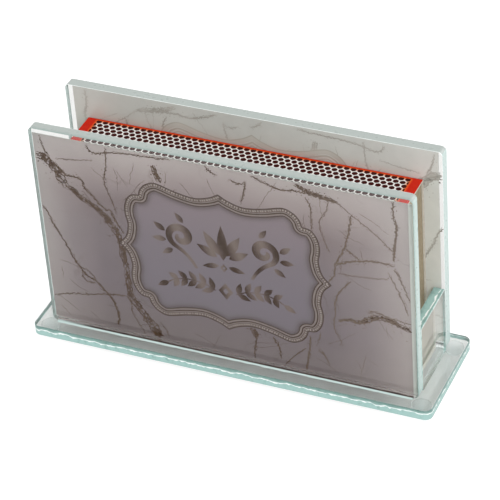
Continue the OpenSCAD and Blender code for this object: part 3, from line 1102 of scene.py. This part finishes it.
def build_sleeve(red, raw):
    low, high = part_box("box_sleeve")
    tray_low, tray_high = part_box("tray_bottom")
    inner_low = Vector((low.x, low.y + CARD_T, tray_low.z))
    inner_high = Vector((high.x, high.y - CARD_T, high.z - CARD_T))
    outer = sleeve_section(low, high, FOLD_R, 5)
    inner = sleeve_section(inner_low, inner_high, CUT_R, 5)
    count = len(outer)
    verts = []
    for x in (low.x, high.x):
        verts += [(x, y, z) for y, z in outer] + [(x, y, z) for y, z in inner]
    faces = []
    which = []
    for i in range(count):
        j = (i + 1) % count
        faces += [(i, j, 2 * count + j, 2 * count + i),
                  (count + j, count + i, 3 * count + i, 3 * count + j),
                  (j, i, count + i, count + j),
                  (2 * count + i, 2 * count + j, 3 * count + j, 3 * count + i)]
        which += [0, 1, 1, 1]
    sleeve = piece("sleeve_card", verts, faces, [red, raw], "matchbox", which)
    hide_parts("box_sleeve")
    return sleeve


DOT_PITCH = 2.16 * MM
ROW_PITCH = 1.73 * MM
# A dot's corners, from its middle
DOT = ((-0.84, -0.34), (-0.74, -0.50), (-0.14, -0.86), (0.14, -0.86), (0.74, -0.50), (0.84, -0.34),
       (0.84, 0.34), (0.74, 0.50), (0.14, 0.86), (-0.14, 0.86), (-0.74, 0.50), (-0.84, 0.34))
# The middle of one dot in the hindmost row of the upper strip
FIRST_DOT = (-49.93 * MM, 8.77 * MM)
DOT_RISE = 0.03 * MM


def clipped(outline, axis, limit, sign):
    """The part of an outline on one side of a line across one axis."""
    kept = []
    for number, point in enumerate(outline):
        before = outline[number - 1]
        inside, was_inside = (limit - point[axis]) * sign >= 0, (limit - before[axis]) * sign >= 0
        if inside != was_inside:
            share = (limit - before[axis]) / (point[axis] - before[axis])
            kept.append(tuple(b + (p - b) * share for b, p in zip(before, point)))
        if inside:
            kept.append(point)
    return kept


def striker_dots(low, high):
    """Outlines of the honeycomb of dots, cut off at the strip's rim."""
    outlines = []
    rows = int((high.y - low.y) / ROW_PITCH) + 2
    columns = int((high.x - low.x) / DOT_PITCH) + 3
    for row in range(rows):
        y = FIRST_DOT[1] - row * ROW_PITCH
        for column in range(-1, columns):
            x = FIRST_DOT[0] + (column + row % 2 / 2) * DOT_PITCH
            outline = []
            for k, (a, b) in enumerate(DOT):
                swell = 1 + 0.05 * wave(column * 3.7 + k * 0.6, row + 30)
                outline.append((x + a * swell * MM, y + b * swell * MM))
            for axis, limit, sign in ((0, low.x, -1), (0, high.x, 1), (1, low.y, -1), (1, high.y, 1)):
                outline = clipped(outline, axis, limit, sign)
            if len(outline) > 2:
                outlines.append(outline)
    return outlines


def build_striker(node, up, ground, compound):
    """A striking strip: its ground, and the honeycomb of raised dots on it."""
    low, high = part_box(node)
    face_z, back_z = (high.z, low.z) if up > 0 else (low.z, high.z)
    plane = face_z - up * DOT_RISE
    verts, faces = block((low.x, low.y, min(plane, back_z)), (high.x, high.y, max(plane, back_z)))
    strip = piece(node + "_strip", verts, faces, [ground], "matchbox")
    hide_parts(node)
    verts = []
    faces = []
    for outline in striker_dots(low, high):
        start = len(verts)
        count = len(outline)
        verts += [(x, y, plane) for x, y in outline] + [(x, y, face_z) for x, y in outline]
        top = tuple(start + count + k for k in range(count))
        faces.append(top if up > 0 else top[::-1])
        for k in range(count):
            j = (k + 1) % count
            wall = (start + k, start + j, start + count + j, start + count + k)
            faces.append(wall if up > 0 else wall[::-1])
    piece(node + "_dots", verts, faces, [compound], "matchbox")


# Feet and seams


def build_foot(node, material):
    """A clear dome, flat where it stands, let slightly into the glass so that the two are in contact."""
    low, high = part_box(node)
    centre = (low + high) / 2
    radius = (high.x - low.x) / 2
    flat = 1.7 * MM
    contact = 0.02 * MM
    lift = 0.03 * MM
    profile = [(0.0, low.z + lift)]
    for k in range(9):
        t = k / 8
        profile.append((flat + (radius - flat) * math.sin(t * math.pi / 2) ** 0.8,
                        low.z + lift + (high.z - low.z - lift) * (1 - math.cos(t * math.pi / 2) ** 0.9)))
    profile.append((radius - 0.1 * MM, high.z + contact))
    profile.append((0.0, high.z + contact))
    count = 48
    verts = [(centre.x, centre.y, profile[0][1])]
    for r, z in profile[1:-1]:
        verts += [(centre.x + r * math.cos(2 * math.pi * k / count),
                   centre.y + r * math.sin(2 * math.pi * k / count), z) for k in range(count)]
    verts.append((centre.x, centre.y, profile[-1][1]))
    rings = len(profile) - 2
    faces = [(0, 1 + (k + 1) % count, 1 + k) for k in range(count)]
    for ring in range(rings - 1):
        for k in range(count):
            j = (k + 1) % count
            faces.append((1 + ring * count + k, 1 + ring * count + j,
                          1 + (ring + 1) * count + j, 1 + (ring + 1) * count + k))
    last = 1 + (rings - 1) * count
    faces += [(last + k, last + (k + 1) % count, len(verts) - 1) for k in range(count)]
    foot = piece(node + "_bumper", verts, faces, [material], "holder", smooth=True)
    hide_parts(node)


def build_glass():
    """The plates, and the adhesive between them."""
    float_glass = float_glass_material()
    dark, middle, bright = srgb(104, 136, 130), srgb(160, 195, 190), srgb(246, 252, 250)
    # The panels' edges that face up are painted darker, as painted shade.
    panel_edge = ground_edge_material("ground_panel_edge", dark, srgb(190, 209, 205), bright,
                                      srgb(168, 176, 172), 0.1)
    edge = ground_edge_material("ground_edge", dark, middle, bright, middle, 0.45)
    for number, (node, axis, ground) in enumerate((
            ("base_plate", 2, edge), ("front_panel", 1, panel_edge), ("back_panel", 1, panel_edge),
            ("left_stop", 0, edge), ("right_stop", 0, edge))):
        glass_plate(node, axis, 1.0 + number, [float_glass, ground])
    bead = fillet_material()
    build_bead("front_panel_glue", "front_panel", -1, bead)
    build_bead("back_panel_glue", "back_panel", 1, bead)
    seam = seam_material()
    for node in ("left_stop_glue", "right_stop_glue"):
        dress(node, seam)


def build_print():
    """The two films, the print between each and its glass, and what shows through on their plain sides."""
    broad, solid = draw_veins()
    dark, middling, light, strokes, field, shade, darkness = draw_label()
    ornament = draw_ornament()
    backing = backing_material()
    vein_ghost = ghost_material("veins_showing_through", srgb(150, 147, 139), srgb(176, 173, 166))
    cloud_ghost = ghost_material("broad_veins_showing_through", srgb(168, 167, 160), srgb(182, 180, 173))
    frame_ghost = ghost_material("frame_showing_through", srgb(163, 160, 150), srgb(172, 168, 158))
    band_ghost = ghost_material("frame_band_showing_through", srgb(176, 174, 166), srgb(182, 179, 171))
    line_ink = ink_material("frame_line_ink", behind_glass(78, 66, 60), behind_glass(88, 76, 70), 500.0)
    band_ink = ink_material("frame_band_ink", behind_glass(96, 85, 80), behind_glass(106, 95, 90), 500.0)
    light_ink = ink_material("frame_light_ink", behind_glass(128, 118, 114), behind_glass(138, 128, 123),
                             500.0)
    stroke_ink = ink_material("frame_stroke_ink", behind_glass(146, 136, 130), behind_glass(160, 150, 144),
                              500.0)
    foil = foil_material()
    for side, name in ((-1, "front"), (1, "back")):
        film_piece(side, print_material(side), backing)
        size = LABEL_SIZE[side]
        broad.on_film(name + "_broad_veins", side, VEIN_LIFT, speckled_material(side))
        solid.on_film(name + "_veins", side, VEIN_LIFT + LAYER, vein_material(side))
        ground = field_material(side)
        field.enlarged(size).on_film(name + "_label_ground", side, FIELD_LIFT, ground)
        rim = shade.enlarged(size).on_film(name + "_label_shade", side, FIELD_LIFT + LAYER, ground)
        put_attribute(rim, "shade", "POINT", darkness)
        frame_parts = ((middling, "band", band_ink), (dark, "lines", line_ink), (light, "lights", light_ink),
                       (strokes, "strokes", stroke_ink))
        for layer, (drawing, part, ink) in enumerate(frame_parts):
            drawing.enlarged(size).on_film(name + "_frame_" + part, side, FRAME_LIFT + layer * LAYER / 2, ink)
        ornament.enlarged(size).on_film(name + "_ornament", side, ORNAMENT_LIFT, foil)
        broad.on_film(name + "_broad_veins_through", side, GHOST_LIFT, cloud_ghost)
        solid.on_film(name + "_veins_through", side, GHOST_LIFT - LAYER, vein_ghost)
        for layer, drawing, part, ink in ((2, middling, "band", band_ghost), (3, dark, "lines", frame_ghost)):
            drawing.enlarged(size).on_film(name + "_frame_" + part + "_through", side,
                                           GHOST_LIFT - layer * LAYER, ink)


def build_matchbox():
    raw = card_material("cut_card", srgb(196, 190, 176), srgb(214, 208, 196), 900.0, 0.8, 0.4)
    build_sleeve(red_card_material(), raw)
    ground = striker_ground_material()
    compound = striker_dot_material()
    build_striker("striker_top", 1, ground, compound)
    build_striker("striker_bottom", -1, ground, compound)
    tan = card_material("tan_card", srgb(142, 128, 104), srgb(164, 150, 125), 650.0, 0.85, 0.5)
    for node in ("tray_bottom", "tray_lower_side", "tray_upper_side", "tray_left_end", "tray_right_end"):
        dress(node, tan)
    dress("match_sticks", wood_material())
    dress("match_heads", head_material())


def dress(node, material):
    """Gives a CAD node that stays in view its material."""
    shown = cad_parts[node]
    shown.data.materials.clear()
    shown.data.materials.append(material)


def main():
    build_glass()
    build_print()
    build_matchbox()
    bumper = bumper_material()
    for node in ("foot_front_left", "foot_front_right", "foot_back_left", "foot_back_right"):
        build_foot(node, bumper)


def build_stage():
    """The camera, the floor, the world and three soft lamps."""
    scene = bpy.context.scene
    scene.view_settings.view_transform = "Standard"
    scene.cycles.max_bounces = 24
    scene.cycles.transmission_bounces = 24
    scene.cycles.transparent_max_bounces = 24

    cos_a, sin_a = math.cos(VIEW_AZIMUTH), math.sin(VIEW_AZIMUTH)
    cos_e, sin_e = math.cos(VIEW_ELEVATION), math.sin(VIEW_ELEVATION)
    back = Vector((sin_a * cos_e, -cos_a * cos_e, sin_e))
    right = Vector((cos_a, sin_a, 0))
    up = back.cross(right)
    rolled_right = right * math.cos(VIEW_ROLL) + up * math.sin(VIEW_ROLL)
    rolled_up = up * math.cos(VIEW_ROLL) - right * math.sin(VIEW_ROLL)
    pose = Matrix((rolled_right, rolled_up, back)).transposed().to_4x4()
    pose.translation = VIEW_TARGET + back * VIEW_DISTANCE
    lens = bpy.data.cameras.new("camera")
    lens.sensor_width = SENSOR
    lens.lens = LENS
    camera = bpy.data.objects.new("camera", lens)
    camera.matrix_world = pose
    scene.collection.objects.link(camera)
    scene.camera = camera

    reach = 3.0
    floor_mesh = bpy.data.meshes.new("floor")
    floor_mesh.from_pydata([(-reach, -reach, 0), (reach, -reach, 0), (reach, reach, 0), (-reach, reach, 0)],
                           [], [(0, 1, 2, 3)])
    floor_mesh.materials.append(floor_material())
    floor = bpy.data.objects.new("floor", floor_mesh)
    scene.collection.objects.link(floor)

    world = bpy.data.worlds.new("world")
    scene.world = world
    world.use_nodes = True
    tree = world.node_tree
    tree.nodes.clear()
    output = tree.nodes.new("ShaderNodeOutputWorld")
    light = tree.nodes.new("ShaderNodeBackground")
    light.inputs["Color"].default_value = (0.82, 0.82, 0.82, 1)
    white = tree.nodes.new("ShaderNodeBackground")
    white.inputs["Color"].default_value = (1, 1, 1, 1)
    path = tree.nodes.new("ShaderNodeLightPath")
    seen = path.outputs["Is Camera Ray"]
    for name in ("Is Glossy Ray", "Is Transmission Ray"):
        larger = tree.nodes.new("ShaderNodeMath")
        larger.operation = "MAXIMUM"
        tree.links.new(seen, larger.inputs[0])
        tree.links.new(path.outputs[name], larger.inputs[1])
        seen = larger.outputs[0]
    choose = tree.nodes.new("ShaderNodeMixShader")
    tree.links.new(seen, choose.inputs[0])
    tree.links.new(light.outputs[0], choose.inputs[1])
    tree.links.new(white.outputs[0], choose.inputs[2])
    tree.links.new(choose.outputs[0], output.inputs["Surface"])

    for name, place, size, power in (("key", (0.8, -1.25, 0.95), 0.9, 13.0),
                                     ("fill", (-1.4, -0.5, 1.0), 0.9, 4.0),
                                     ("rear", (0.9, 1.3, 0.6), 0.9, 8.0)):
        lamp = bpy.data.lights.new(name, "AREA")
        lamp.size = size
        lamp.energy = power
        holder = bpy.data.objects.new(name, lamp)
        holder.location = place
        holder.rotation_euler = (Vector(place) - VIEW_TARGET).to_track_quat("Z", "Y").to_euler()
        scene.collection.objects.link(holder)


build_stage()
main()
